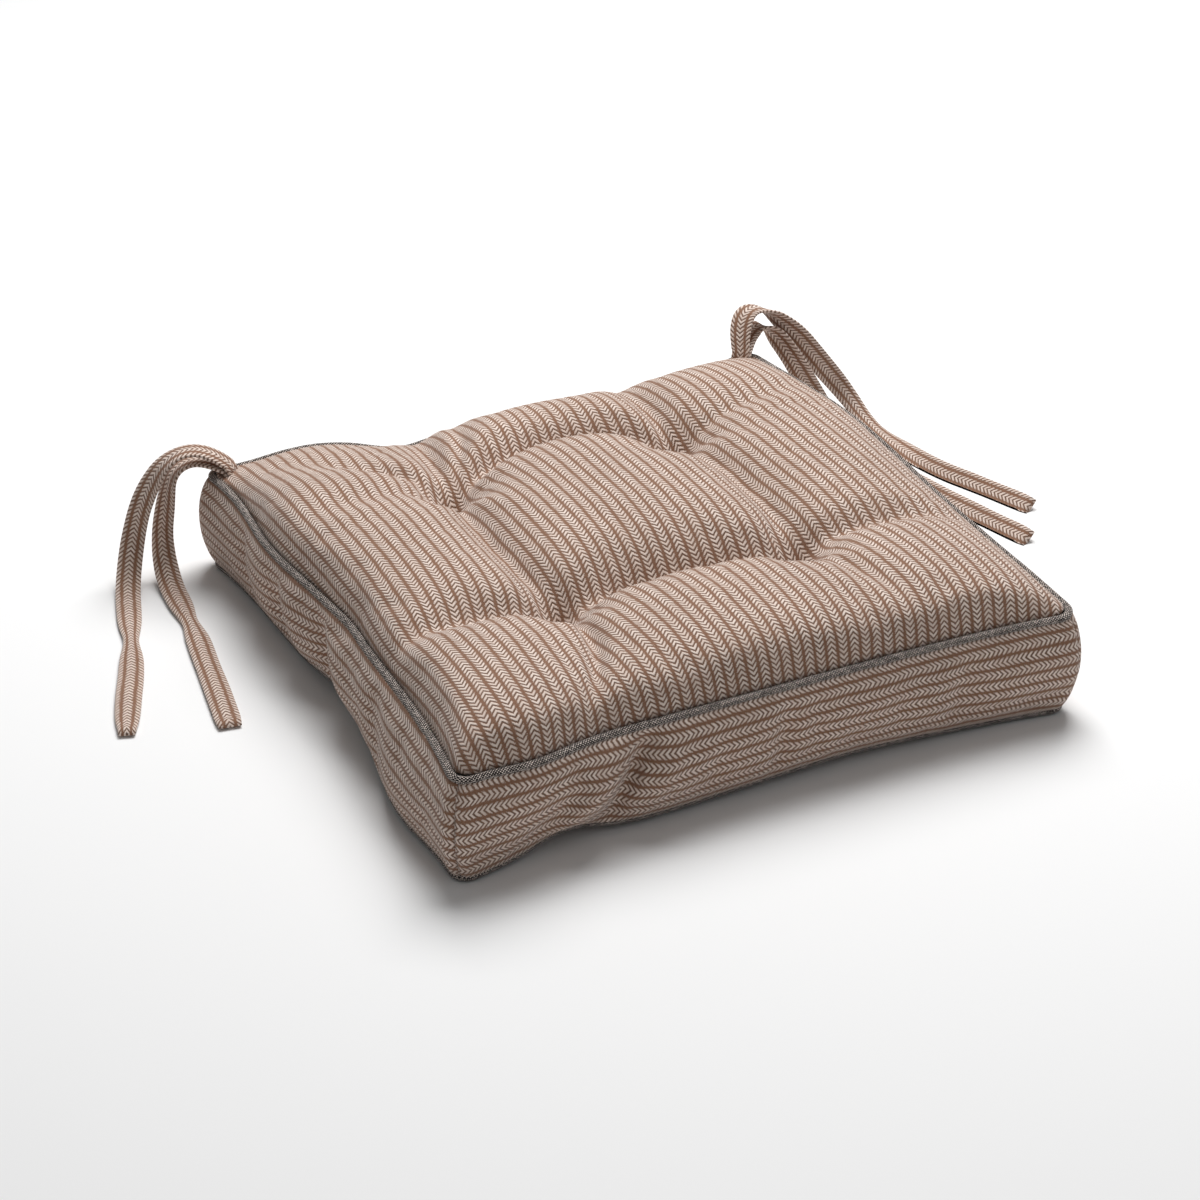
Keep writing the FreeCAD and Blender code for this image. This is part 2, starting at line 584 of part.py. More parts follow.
def make_tie(name, route, seat):
    """An oval strap that lies flat at its free end and is trimmed to the panel at its root."""
    width = float(sheet.evalExpression("Sizes.tie_width"))
    thickness = float(sheet.evalExpression("Sizes.tie_thickness"))
    route = list(reversed(route))
    points = [Vector(*stop[:3]) for stop in route]
    across = width_directions(points, [stop[3] for stop in route])
    path, radii = rounded_route(points)
    beside, _ = rounded_route([p + w * SIDE_STEP for p, w in zip(points, across)])
    heading = (points[1] - points[0]).normalize()
    first_across = (across[0] - heading * across[0].dot(heading)).normalize()
    columns = (first_across, heading.cross(first_across), heading)
    turned = Matrix(*[value for line in zip(*columns) for value in (*line, 0)], 0, 0, 0, 1)
    section = Part.Wire([Part.Ellipse(Vector(), width / 2, thickness / 2).toShape()])
    section.Placement = Placement(points[0], Placement(turned).Rotation)
    sweep = Part.BRepOffsetAPI.MakePipeShell(path)
    sweep.setAuxiliarySpine(beside, False, 0)
    sweep.add(section)
    sweep.build()
    sweep.makeSolid()
    swept = sweep.shape()
    expected = math.pi / 4 * width * thickness * path.Length
    print(name, "bend radii:", ", ".join(f"{radius:.0f}" for radius in radii))
    print(name, f"length {path.Length:.1f}, volume {swept.Volume:.0f} of {expected:.0f}")
    if abs(swept.Volume - expected) > 0.01 * expected:
        raise RuntimeError(name + " doesn't fill its section along its route")
    strap = doc.addObject("Part::Feature", name + "_strap")
    strap.Shape = swept
    strap.Placement = Placement()
    return cut(name, strap, seat)


# ---------------------------------------------------------------- the assembly
nodes = [make_top_panel(), make_bottom_panel(), *make_boxing()]
nodes += make_piping()
nodes += [make_fill(), *make_tuft_twines(), *make_seam_threads()]
dome_seat = crown("tie_seat", 0, PANEL_FOOT, PANEL_INSET, CROWN)
nodes += [make_tie(name, points, dome_seat) for name, points in ROUTES.items()]
doc.recompute()

for thing in doc.Objects:
    if {"Invalid", "Error"} & set(thing.State):
        raise RuntimeError(f"{thing.Label} failed: {thing.State}")
for node in nodes:
    if node.Shape.isNull() or not node.Shape.isValid() or not node.Shape.Solids:
        raise RuntimeError(f"{node.Label} has no valid solid")

os.makedirs("parts", exist_ok=True)
for node in nodes:
    node.Shape.exportStep(f"parts/{node.Label}.step")
    print(node.Label, len(node.Shape.Solids), "solids", round(node.Shape.Volume))
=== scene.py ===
import math
import bpy
import numpy as np
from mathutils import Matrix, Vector


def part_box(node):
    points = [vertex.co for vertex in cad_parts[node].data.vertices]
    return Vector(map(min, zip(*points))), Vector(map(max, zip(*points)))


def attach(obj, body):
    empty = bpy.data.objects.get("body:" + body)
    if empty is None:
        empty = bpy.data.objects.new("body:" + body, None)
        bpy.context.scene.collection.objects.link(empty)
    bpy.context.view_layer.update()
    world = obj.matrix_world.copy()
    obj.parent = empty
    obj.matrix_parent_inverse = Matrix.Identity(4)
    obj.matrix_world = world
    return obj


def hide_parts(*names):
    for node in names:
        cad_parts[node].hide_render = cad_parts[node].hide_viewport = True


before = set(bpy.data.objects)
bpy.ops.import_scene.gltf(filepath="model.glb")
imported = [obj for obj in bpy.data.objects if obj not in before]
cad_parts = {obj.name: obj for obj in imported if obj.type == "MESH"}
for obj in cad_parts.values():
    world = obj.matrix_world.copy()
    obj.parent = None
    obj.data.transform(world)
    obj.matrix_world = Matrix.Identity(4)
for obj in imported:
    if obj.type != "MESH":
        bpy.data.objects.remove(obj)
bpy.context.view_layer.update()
scene = bpy.context.scene

# ---------------------------------------------------------------- sizes, from the frame where it has them
PIPING_LOW, PIPING_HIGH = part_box("top_piping_cover")
PIPE_RADIUS = (PIPING_HIGH.z - PIPING_LOW.z) / 2
HALF = PIPING_HIGH.x - PIPE_RADIUS  # middle of the pad to the centreline of the piping
HIGH = PIPING_LOW.z + PIPE_RADIUS  # centreline of the top piping
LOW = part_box("bottom_piping_cover")[0].z + PIPE_RADIUS
CROWN_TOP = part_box("top_panel")[1].z
CORNER = 0.013  # radius of the piping's centreline at each corner, from above
CLOTH = 0.0012  # thickness of the cover cloth
TUFT_FLOOR = 0.0605  # height of the cloth at the bottom of a tuft
PUFF = 0.010  # how far the crown's plain rise goes past the CAD top before creases and tufts draw it down
BULGE = 0.0072  # how far a boxing bulges between its seams
SEAM_OUT = 0.0030  # how far a boxing's seams stand out from the piping's centreline
CORNER_EASE = 0.0012  # how much less both of these are at the corner seams
PIPING_SHOWN = 0.86  # share of the piping's radius that shows, because the cloth laps over it
PIPING_JOIN = 7.66 * HALF  # how far round the ends of the piping's cover meet, near the front left corner
FILLER_RADIUS = 0.0019
STITCH_INSET = 0.0045  # ring stitches from the piping's centreline, inwards
THREAD_RADIUS = 0.0004
TIE_WIDTH = 0.017
TIE_THICKNESS = 0.0032
RIB = 0.0082  # one herringbone rib and the brown line beside it
CHEVRON = 0.0033  # from one chevron to the next along a rib

# The middle of each tuft, from above.
TUFTS = {}
for corner in ("back_left", "back_right", "front_left", "front_right"):
    lowest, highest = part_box("tuft_twine_" + corner)
    TUFTS[corner] = np.array([(lowest.x + highest.x) / 2, (lowest.y + highest.y) / 2])


# ---------------------------------------------------------------- helpers
def smooth(value, start, end):
    """0 before start, 1 after end, and an even S between them."""
    share = np.clip((value - start) / (end - start), 0, 1)
    return share * share * (3 - 2 * share)


def hump(value, centre, reach):
    """A bell that is 1 at its centre and fades out over its reach."""
    return np.exp(-(((value - centre) / reach) ** 2))


def ripple(x, y, scale, seed):
    """Smooth unevenness from -1 to 1, made of waves in fixed pseudo-random directions."""
    waves = np.random.default_rng(seed)
    total = np.zeros(np.shape(x))
    for _ in range(9):
        bearing, phase = waves.uniform(0, 2 * np.pi, 2)
        pitch = scale * waves.uniform(0.7, 1.6)
        run = x * math.cos(bearing) + y * math.sin(bearing)
        total += np.sin(2 * np.pi * run / pitch + phase)
    return total / 4.5


def new_object(name, vertices, faces, cloth=None):
    """A mesh object; cloth holds each vertex's place on the flat fabric, across and along its ribs."""
    mesh = bpy.data.meshes.new(name)
    mesh.from_pydata([tuple(v) for v in vertices], [], [tuple(f) for f in faces])
    if cloth is not None:
        layer = mesh.uv_layers.new(name="cloth")
        layer.data.foreach_set("uv", np.asarray(cloth)[corner_vertices(mesh)].astype(np.float32).ravel())
    mesh.polygons.foreach_set("use_smooth", np.ones(len(mesh.polygons), bool))
    piece = bpy.data.objects.new(name, mesh)
    scene.collection.objects.link(piece)
    return piece


def corner_vertices(mesh):
    """The vertex at each face corner."""
    found = np.empty(len(mesh.loops), np.int32)
    mesh.loops.foreach_get("vertex_index", found)
    return found


def unit(vectors):
    return vectors / np.linalg.norm(vectors, axis=1, keepdims=True)


def distance_along(line):
    """How far each point of a line is from its start, along the line."""
    return np.concatenate([[0], np.cumsum(np.linalg.norm(np.diff(line, axis=0), axis=1))])


def coordinates(piece):
    """The places of a piece's vertices, one row each."""
    places = np.empty(len(piece.data.vertices) * 3)
    piece.data.vertices.foreach_get("co", places)
    return places.reshape(-1, 3)


def move_to(piece, places):
    piece.data.vertices.foreach_set("co", np.asarray(places, float).ravel())
    piece.data.update()


def settle(piece):
    """Applies the piece's modifiers."""
    bpy.context.view_layer.update()
    shown = piece.evaluated_get(bpy.context.evaluated_depsgraph_get())
    piece.data = bpy.data.meshes.new_from_object(shown)
    piece.modifiers.clear()


def softbox(name, place, aim, size, power):
    """A square soft light that faces aim."""
    light = bpy.data.lights.new(name, "AREA")
    light.shape = "SQUARE"
    light.size = size
    light.energy = power
    holder = bpy.data.objects.new(name, light)
    scene.collection.objects.link(holder)
    holder.location = place
    holder.rotation_mode = "QUATERNION"
    holder.rotation_quaternion = (Vector(aim) - Vector(place)).to_track_quat("-Z", "Y")


def finish_piece(piece, material, node):
    """Gives the piece its material and its place in the assembly, instead of a CAD node."""
    piece.data.materials.clear()
    piece.data.materials.append(material)
    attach(piece, "root")
    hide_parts(node)
    return piece


# ---------------------------------------------------------------- outline of the pad
# Each seam leaves the straight: belly is its shift and lift along the middle of the side, and each hump
# adds (centre, reach, shift, lift), centre and reach as shares of half the side. Shifts are outward.
SEAMS = {
    ("front", "top"): ((-0.008, 0.0), [(-0.78, 0.13, 0.008, 0.0), (-0.5, 0.1, -0.002, -0.001)]),
    ("front", "low"): ((-0.010, 0.003), [(-0.66, 0.14, -0.006, 0.007), (0.25, 0.35, -0.002, 0.003)]),
    ("left", "top"): ((-0.011, 0.0), [(0.45, 0.30, 0.009, 0.0), (-0.1, 0.12, -0.002, 0.0)]),
    ("left", "low"): ((-0.010, 0.002), [(-0.02, 0.22, -0.004, 0.008), (-0.66, 0.28, 0.013, 0.0)]),
    ("right", "top"): ((0.003, 0.001), [(0.35, 0.50, 0.005, 0.005)]),
    ("right", "low"): ((-0.009, 0.002), [(0.1, 0.25, -0.003, 0.003)]),
    ("back", "top"): ((-0.014, -0.005), [(-0.70, 0.26, 0.006, 0.011), (-0.36, 0.12, -0.005, -0.003)]),
    ("back", "low"): ((-0.010, 0.002), [(0.1, 0.3, -0.003, 0.003)]),
}
# Each side: the axis that it faces along, and which way.
SIDES = {"front": (1, -1), "right": (0, 1), "back": (1, 1), "left": (0, -1)}


def rounded(x, y):
    """Points of a square grid, moved so that the square's corners become round."""
    over_x = np.clip((np.abs(x) - HALF + CORNER) / CORNER, 0, 1)
    over_y = np.clip((np.abs(y) - HALF + CORNER) / CORNER, 0, 1)
    x = np.sign(x) * (np.minimum(np.abs(x), HALF - CORNER) + CORNER * over_x * np.sqrt(1 - over_y**2 / 2))
    y = np.sign(y) * (np.minimum(np.abs(y), HALF - CORNER) + CORNER * over_y * np.sqrt(1 - over_x**2 / 2))
    return x, y


def seam_shift(side, level, along):
    """How far a seam is shifted outward and lifted, along from -1 to 1 on its side."""
    (shift, lift), humps = SEAMS[side, level]
    full = 1 - np.clip(np.abs(along), 0, 1) ** 4
    shift, lift = shift * full, lift * full
    for centre, reach, out, up in humps:
        near = hump(along, centre, reach) * full
        shift, lift = shift + out * near, lift + up * near
    return shift, lift


def warp(places):
    """Takes points of the plain box to the pad's real outline."""
    height = np.clip((places[:, 2] - LOW) / (HIGH - LOW), 0, 1)
    moved = places.copy()
    for side, (axis, sign) in SIDES.items():
        along = places[:, 1 - axis] / HALF
        near = smooth(sign * places[:, axis] / HALF, 0.35, 1.0)
        top_shift, top_lift = seam_shift(side, "top", along)
        low_shift, low_lift = seam_shift(side, "low", along)
        moved[:, axis] += sign * near * (low_shift + (top_shift - low_shift) * height)
        moved[:, 2] += near**2 * (low_lift + (top_lift - low_lift) * height)
    return moved


def seam_line(level, inset=0.0, per_side=120):
    """A closed line along a seam, counter-clockwise from the front left corner."""
    run = np.linspace(-HALF, HALF, per_side, endpoint=False)
    edge = np.full(per_side, HALF)
    x = np.concatenate([run, edge, -run, -edge])
    y = np.concatenate([-edge, run, edge, -run])
    x, y = rounded(x, y)
    shrink = 1 - inset / HALF
    return warp(np.stack([x * shrink, y * shrink, np.full(len(x), level)], axis=1))


# ---------------------------------------------------------------- the crowned, tufted top
def at(x, y):
    return np.array([x, y])


def mid(*points):
    return sum(points) / len(points)


def crease(start, through, end, depths, width):
    """A valley in the crown: a bowed line, its depths at both ends and between, and how far it spreads."""
    share = np.linspace(0, 1, 41)[:, None]
    bow = 2 * through - mid(start, end)
    line = (1 - share) ** 2 * start + 2 * share * (1 - share) * bow + share**2 * end
    first, middle, last = depths
    share = share[:, 0]
    drop = first * (1 - share) * (1 - 2 * share)
    drop = drop + 4 * middle * share * (1 - share) + last * share * (2 * share - 1)
    return line, drop, width


A, B = TUFTS["back_left"], TUFTS["back_right"]
C, D = TUFTS["front_left"], TUFTS["front_right"]
# First the four between neighbouring tufts, then those that run out to the left, right, back and front.
CREASES = [
    crease(A, mid(A, B) + at(0.006, 0.040), B, (0.020, 0.018, 0.020), 0.027),
    crease(C, mid(C, D) + at(-0.002, 0.014), D, (0.022, 0.023, 0.022), 0.029),
    crease(C, mid(A, C) + at(-0.008, 0), A, (0.018, 0.015, 0.018), 0.026),
    crease(D, mid(B, D) + at(0.008, 0), B, (0.018, 0.014, 0.018), 0.026),
    crease(C, at(-0.145, -0.080), at(-0.211, -0.090), (0.019, 0.014, 0.006), 0.024),
    crease(D, at(0.145, -0.084), at(0.211, -0.100), (0.018, 0.012, 0.004), 0.024),
    crease(A, at(-0.116, 0.124), at(-0.160, 0.165), (0.017, 0.010, 0.001), 0.022),
    crease(A, at(-0.150, 0.078), at(-0.211, 0.070), (0.010, 0.003, 0.001), 0.024),
    crease(B, at(0.150, 0.100), at(0.211, 0.115), (0.014, 0.005, 0.001), 0.024),
    crease(A, at(-0.076, 0.150), at(-0.066, 0.211), (0.019, 0.016, 0.010), 0.026),
    crease(A, at(-0.056, 0.145), at(-0.040, 0.211), (0.017, 0.011, 0.005), 0.018),
    crease(B, at(0.088, 0.150), at(0.092, 0.211), (0.018, 0.013, 0.007), 0.026),
    crease(C, at(-0.092, -0.150), at(-0.122, -0.211), (0.018, 0.013, 0.007), 0.013),
    crease(D, at(0.094, -0.137), at(0.108, -0.211), (0.015, 0.007, 0.001), 0.016),
]


def panel_share(distance, quick, reach):
    """How much of the crown's rise the panel has, by its distance from a side seam. quick is the part of
    the rise right beside the piping, and reach is how far in the rest goes on."""
    return 1 - quick * np.exp(-distance / 0.0035) - (0.92 - quick) * np.exp(-distance / reach)


def pull(distance, near, far, near_part):
    """The shape of a dip in stuffed cloth: steep within the near distance, gentle out to the far one."""
    steep = np.clip(1 - distance / near, 0, 1) ** 2
    gentle = np.clip(1 - distance / far, 0, 1) ** 2
    return near_part * steep + (1 - near_part) * gentle


def valleys(x, y):
    """How far creases and tufts draw the top down, and the distance to the nearest crease."""
    sharing = 4.0
    dips = np.zeros(np.shape(x))
    nearest = np.full(np.shape(x), 1.0)
    for line, drop, width in CREASES:
        gap = np.full(np.shape(x), 1.0)
        depth = np.zeros(np.shape(x))
        for (px, py), down in zip(line, drop):
            distance = np.hypot(x - px, y - py)
            nearer = distance < gap
            gap = np.where(nearer, distance, gap)
            depth = np.where(nearer, down, depth)
        dips += (1.35 * depth * pull(gap, width, 0.075, 0.55)) ** sharing
        nearest = np.minimum(nearest, gap)
    deepest = CROWN_TOP - TUFT_FLOOR
    for centre in TUFTS.values():
        distance = np.hypot(x - centre[0], y - centre[1])
        dips += ((deepest + 0.007) * pull(distance, 0.044, 0.095, 0.55)) ** sharing
    return dips ** (1 / sharing), nearest


def tuft_distance(x, y):
    """How far each place is from the nearest tuft, from above."""
    return np.min([np.hypot(x - c[0], y - c[1]) for c in TUFTS.values()], axis=0)


def crown(x, y):
    """Height of the tufted top before it is inflated, and the distance to the nearest crease."""
    low_back = (0.05 + 0.56 * smooth(-x / HALF, 0.28, 0.55)) * smooth(y / HALF, 0.45, 0.95)
    rise = (CROWN_TOP + PUFF - HIGH) * (1 - low_back)
    dips, nearest = valleys(x, y)
    share = panel_share(HALF - np.abs(x), 0.40 * (x < 0), np.where(x < 0, 0.014, 0.026))
    share = share * panel_share(HALF - np.abs(y), 0.40 * (y < 0), np.where(y < 0, 0.014, 0.021))
    lowest = HIGH + 0.0025 - 0.030 * hump(tuft_distance(x, y), 0, 0.040)
    return np.maximum(HIGH + (rise - dips) * share, lowest), nearest


def gathers(x, y):
    """Small folds of cloth drawn together at each tuft."""
    folds = np.zeros(np.shape(x))
    for number, centre in enumerate(TUFTS.values()):
        bearing = np.arctan2(y - centre[1], x - centre[0])
        distance = np.hypot(x - centre[0], y - centre[1])
        folds += np.sin(9 * bearing + 2.2 * number + 30 * distance) * hump(distance, 0.024, 0.013)
    return folds


def grid(columns, rows, flip):
    """Faces of a grid of (columns + 1) by (rows + 1) vertices, row by row."""
    wide = columns + 1
    first = (np.arange(rows)[:, None] * wide + np.arange(columns)[None, :]).ravel()
    faces = np.stack([first, first + 1, first + 1 + wide, first + wide], axis=1)
    return faces[:, ::-1] if flip else faces


def inflate(piece, held, pressure, growth, cap):
    """Blows the panel up as cloth. held is how firmly each vertex stays, and none moves more than cap."""
    start = coordinates(piece)
    pins = piece.vertex_groups.new(name="held")
    for weight in np.unique(np.round(held, 2)):
        members = np.nonzero(np.round(held, 2) == weight)[0]
        pins.add([int(m) for m in members], float(weight), "REPLACE")
    cloth = piece.modifiers.new("Cloth", "CLOTH")
    cloth.settings.quality = 6
    cloth.settings.mass = 0.25
    cloth.settings.tension_stiffness = 12
    cloth.settings.compression_stiffness = 12
    cloth.settings.shear_stiffness = 4
    cloth.settings.bending_stiffness = 0.15
    cloth.settings.use_pressure = True
    cloth.settings.uniform_pressure_force = pressure
    cloth.settings.shrink_min = -growth
    cloth.settings.vertex_group_mass = "held"
    cloth.settings.pin_stiffness = 0.6
    cloth.settings.effector_weights.gravity = 0
    cloth.collision_settings.use_collision = False
    for number in range(1, 21):
        scene.frame_set(number)
    settle(piece)
    scene.frame_set(1)
    step = coordinates(piece) - start
    length = np.linalg.norm(step, axis=1, keepdims=True)
    move_to(piece, start + step * np.minimum(1, cap / np.maximum(length, 1e-9)))
    piece.vertex_groups.clear()


def extent(places, faces):
    """A measure of the faces' area, in space or on the flat, from the first three corners of each."""
    first, second, third = [places[faces[:, corner]] for corner in range(3)]
    one, other = second - first, third - first
    square = (one**2).sum(1) * (other**2).sum(1) - (one * other).sum(1) ** 2
    return np.sqrt(np.maximum(square, 0)).sum()


def flatten(piece, guide):
    """Lays a panel out flat with the least stretch and turns it to its guide, so that the weave follows
    the cloth."""
    bpy.context.view_layer.objects.active = piece
    piece.select_set(True)
    bpy.ops.object.mode_set(mode="EDIT")
    bpy.ops.mesh.select_all(action="SELECT")
    bpy.ops.uv.unwrap(method="MINIMUM_STRETCH", margin=0.0)
    bpy.ops.object.mode_set(mode="OBJECT")
    piece.select_set(False)
    layer = piece.data.uv_layers["cloth"]
    found = np.empty(len(piece.data.loops) * 2, np.float32)
    layer.data.foreach_get("uv", found)
    found = found.reshape(-1, 2).astype(float)
    corners = corner_vertices(piece.data)
    flat = np.zeros((len(piece.data.vertices), 2))
    flat[corners] = found
    faces = np.array([face.vertices[:3] for face in piece.data.polygons])
    scale = math.sqrt(extent(coordinates(piece), faces) / extent(flat, faces))
    flat = (flat - flat.mean(0)) * scale
    turn, _, lean = np.linalg.svd(flat.T @ (guide - guide.mean(0)))
    flat = flat @ (turn @ lean) + guide.mean(0)
    layer.data.foreach_set("uv", flat[corners].astype(np.float32).ravel())


def thicken(piece):
    """Rounds the panel once and gives it the cloth's thickness, inwards."""
    rounding = piece.modifiers.new("Rounding", "SUBSURF")
    rounding.levels = rounding.render_levels = 1
    thickness = piece.modifiers.new("Thickness", "SOLIDIFY")
    thickness.thickness = CLOTH
    thickness.offset = -1
    settle(piece)


def top_panel():
    """The crowned top, its cloth inflated between the piping, the creases and the tufts."""
    cells = 110
    run = np.linspace(-HALF, HALF, cells + 1)
    square = np.array([v.ravel() for v in np.meshgrid(run, run)])
    x, y = rounded(*square)
    shrink = 1 - 0.0016 / HALF
    fabric = np.stack([x, y], axis=1)
    z, crease_gap = crown(x, y)
    z = z + 0.0009 * gathers(x, y)
    edge = (np.abs(square) > HALF - 1e-6).any(axis=0)
    z[edge] = HIGH + 0.0020
    places = warp(np.stack([x * shrink, y * shrink, z], axis=1))
    piece = new_object("top_panel_cloth", places, grid(cells, cells, False), fabric)
    near_tuft = np.exp(-((tuft_distance(x, y) / 0.010) ** 2))
    held = np.clip(0.10 + near_tuft + 0.65 * hump(crease_gap, 0, 0.009), 0, 1)
    held[edge] = 1
    inflate(piece, held, 2.2, 0.006, 0.004)
    flatten(piece, fabric)
    thicken(piece)
    return piece


def bottom_panel():
    """The underside: flat on the floor, and turned up a little to the bottom piping."""
    cells = 60
    run = np.linspace(-HALF, HALF, cells + 1)
    x, y = [v.ravel() for v in np.meshgrid(run, run)]
    x, y = rounded(x, y)
    shrink = 1 - 0.0022 / HALF
    rest = 0.0002
    rise = 0.0025 * smooth(np.maximum(np.abs(x), np.abs(y)) / HALF, 0.93, 1.0)
    places = warp(np.stack([x * shrink, y * shrink, rest + rise], axis=1))
    places[:, 2] = np.maximum(places[:, 2], rest)
    piece = new_object("bottom_panel_cloth", places, grid(cells, cells, True), np.stack([x, y], axis=1))
    thicken(piece)
    return piece


def batting():
    """The stuffing: the pad's inside, a little clear of the cloth all round."""
    cells = 60
    run = np.linspace(-HALF, HALF, cells + 1)
    x, y = [v.ravel() for v in np.meshgrid(run, run)]
    x, y = rounded(x, y)
    shrink = 1 - 0.010 / HALF
    edge = np.maximum(np.abs(x), np.abs(y))
    roof = np.minimum(crown(x, y)[0] - 0.009, HIGH + 0.016)
    roof = roof - 0.010 * smooth(edge / HALF, 0.90, 1.0)
    floor = LOW + 0.004 + 0.004 * smooth(edge / HALF, 0.94, 1.0)
    upper = warp(np.stack([x * shrink, y * shrink, roof], axis=1))
    lower = warp(np.stack([x * shrink, y * shrink, floor], axis=1))
    wide = cells + 1
    count = wide * wide
    rim = list(range(cells))
    rim += [n * wide + cells for n in range(cells)]
    rim += [count - 1 - n for n in range(cells)]
    rim += [(cells - n) * wide for n in range(cells)]
    walls = [(count + a, count + b, b, a) for a, b in zip(rim, rim[1:] + rim[:1])]
    faces = [*grid(cells, cells, False), *(grid(cells, cells, True) + count), *walls]
    return new_object("fibre_batting", np.concatenate([upper, lower]), faces)


# Folds in the boxing: (place along the side, place up it, lean, length, width, depth), the first two and
# the lean as shares of half the side and of its height.
BOXING_FOLDS = {
    "front": [
        (-0.46, 0.50, 0.42, 1.2, 0.007, -0.0130),
        (-0.56, 0.45, 0.38, 1.1, 0.014, 0.0080),
        (-0.34, 0.55, 0.42, 0.8, 0.008, 0.0040),
        (-0.30, 0.40, 0.30, 0.7, 0.014, 0.0030),
        (-0.78, 0.18, 1.40, 0.5, 0.012, -0.0030),
        (-0.62, 0.22, 1.00, 0.5, 0.012, 0.0030),
        (0.02, 0.50, 0.10, 0.9, 0.006, -0.0045),
        (0.12, 0.55, -0.10, 0.7, 0.010, -0.0016),
        (0.60, 0.40, 0.15, 0.8, 0.016, -0.0016),
    ],
    "left": [
        (0.34, 0.50, 0.10, 0.9, 0.012, -0.0065),
        (0.20, 0.50, 0.15, 0.9, 0.016, 0.0045),
        (0.02, 0.45, 0.25, 0.9, 0.010, -0.0070),
        (-0.12, 0.45, 0.25, 0.8, 0.016, 0.0055),
        (0.62, 0.50, 0.10, 0.8, 0.016, -0.0025),
        (-0.42, 0.40, 0.20, 0.8, 0.014, -0.0025),
    ],
    "right": [
        (-0.35, 0.50, 0.20, 0.9, 0.014, -0.0030),
        (0.10, 0.50, -0.15, 0.9, 0.014, -0.0035),
        (0.45, 0.50, 0.20, 0.8, 0.014, -0.0025),
    ],
    "back": [
        (-0.40, 0.50, 0.15, 0.9, 0.014, -0.0040),
        (0.05, 0.50, -0.20, 0.9, 0.016, -0.0030),
        (0.42, 0.50, 0.20, 0.8, 0.014, -0.0035),
    ],
}
# Each boxing strip is cut from its own place across the ribs of the cloth.
CUT_FROM = {"front": 0.0, "right": 0.0031, "back": 0.0052, "left": 0.0042}


def boxing_panel(side):
    """A side of the pad from one corner seam to the next, tucked under the piping above and below."""
    axis, sign = SIDES[side]
    columns, rows = 110, 18
    run = np.linspace(-HALF, HALF, columns + 1)
    share = np.linspace(0, 1, rows + 1)
    along, up = [v.ravel() for v in np.meshgrid(run, share)]
    edge = np.full(len(along), HALF * sign)
    x, y = (edge, along) if axis == 0 else (along, edge)
    x, y = rounded(x, y)
    foot, head = LOW + 0.0010, HIGH - 0.0006
    corner_run = np.clip((np.abs(along) - HALF + CORNER) / CORNER, 0, 1)
    arc = CORNER * np.arcsin(corner_run / math.sqrt(2))
    true_along = np.sign(along) * (np.minimum(np.abs(along), HALF - CORNER) + arc)
    height = foot + (head - foot) * up
    fabric = np.stack([height + CUT_FROM[side], true_along], axis=1)
    corner_share = (np.abs(along) / HALF) ** 6
    plump = (BULGE - CORNER_EASE * corner_share) * np.sin(np.pi * up) ** 0.7
    for centre, middle, lean, length, width, depth in BOXING_FOLDS[side]:
        line = along - centre * HALF - lean * (height - foot - middle * (head - foot))
        reach = hump(up, middle, length * 0.5) * np.sin(np.pi * up) ** 0.4 * (1 - corner_share)
        plump = plump + depth * reach * hump(line, 0, width)
    uneven = ripple(along, height, 0.05, axis + 2 * (sign + 1)) * (1 - corner_share)
    plump = plump + 0.0009 * uneven * np.sin(np.pi * up)
    groove = 0.0010 * hump(np.abs(along), HALF, 0.0022)
    out = (plump - groove + SEAM_OUT - CORNER_EASE * corner_share) / HALF
    places = warp(np.stack([x * (1 + out), y * (1 + out), height], axis=1))
    flip = (axis == 0) != (sign > 0)
    piece = new_object(side + "_boxing_cloth", places, grid(columns, rows, flip), fabric)
    held = np.full(len(up), 0.10)
    held[(up < 0.01) | (up > 0.99) | (np.abs(along) > HALF - 1e-6)] = 1
    inflate(piece, held, 2.0, 0.008, 0.002)
    thicken(piece)
    return piece


# ---------------------------------------------------------------- tubes and straps
def ring_faces(count, around, closed):
    """Faces between rings of vertices in a row, with a cap at each end of an open row."""
    faces = []
    for station in range(count if closed else count - 1):
        near = station * around
        far = (station + 1) % count * around
        for spoke in range(around):
            beside = (spoke + 1) % around
            faces.append((near + spoke, near + beside, far + beside, far + spoke))
    if not closed:
        faces.append(tuple(range(around))[::-1])
        faces.append(tuple((count - 1) * around + spoke for spoke in range(around)))
    return faces


